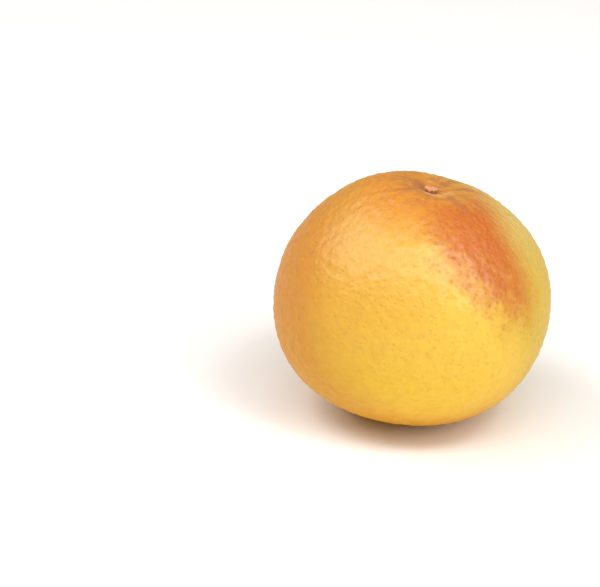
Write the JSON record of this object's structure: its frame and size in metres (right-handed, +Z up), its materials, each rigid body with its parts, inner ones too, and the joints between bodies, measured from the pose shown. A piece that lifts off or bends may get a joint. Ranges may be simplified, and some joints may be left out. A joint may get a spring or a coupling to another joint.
{
  "type": "grapefruit",
  "caption": "Whole ripe grapefruit: a slightly squashed round citrus fruit with a sunken stem scar on top, resting on a small flat spot.",
  "frame": {"origin": "middle of the small flat spot that the fruit rests on", "axes": "+Z up, with the stem end on top and leaning towards +X; -Y is the front, the side that is seen"},
  "size_m": [0.1012, 0.1006, 0.0903],
  "materials": {
    "rind": "satin"
  },
  "bodies": {
    "root": {"grapefruit": "rind"}
  },
  "joints": []
}
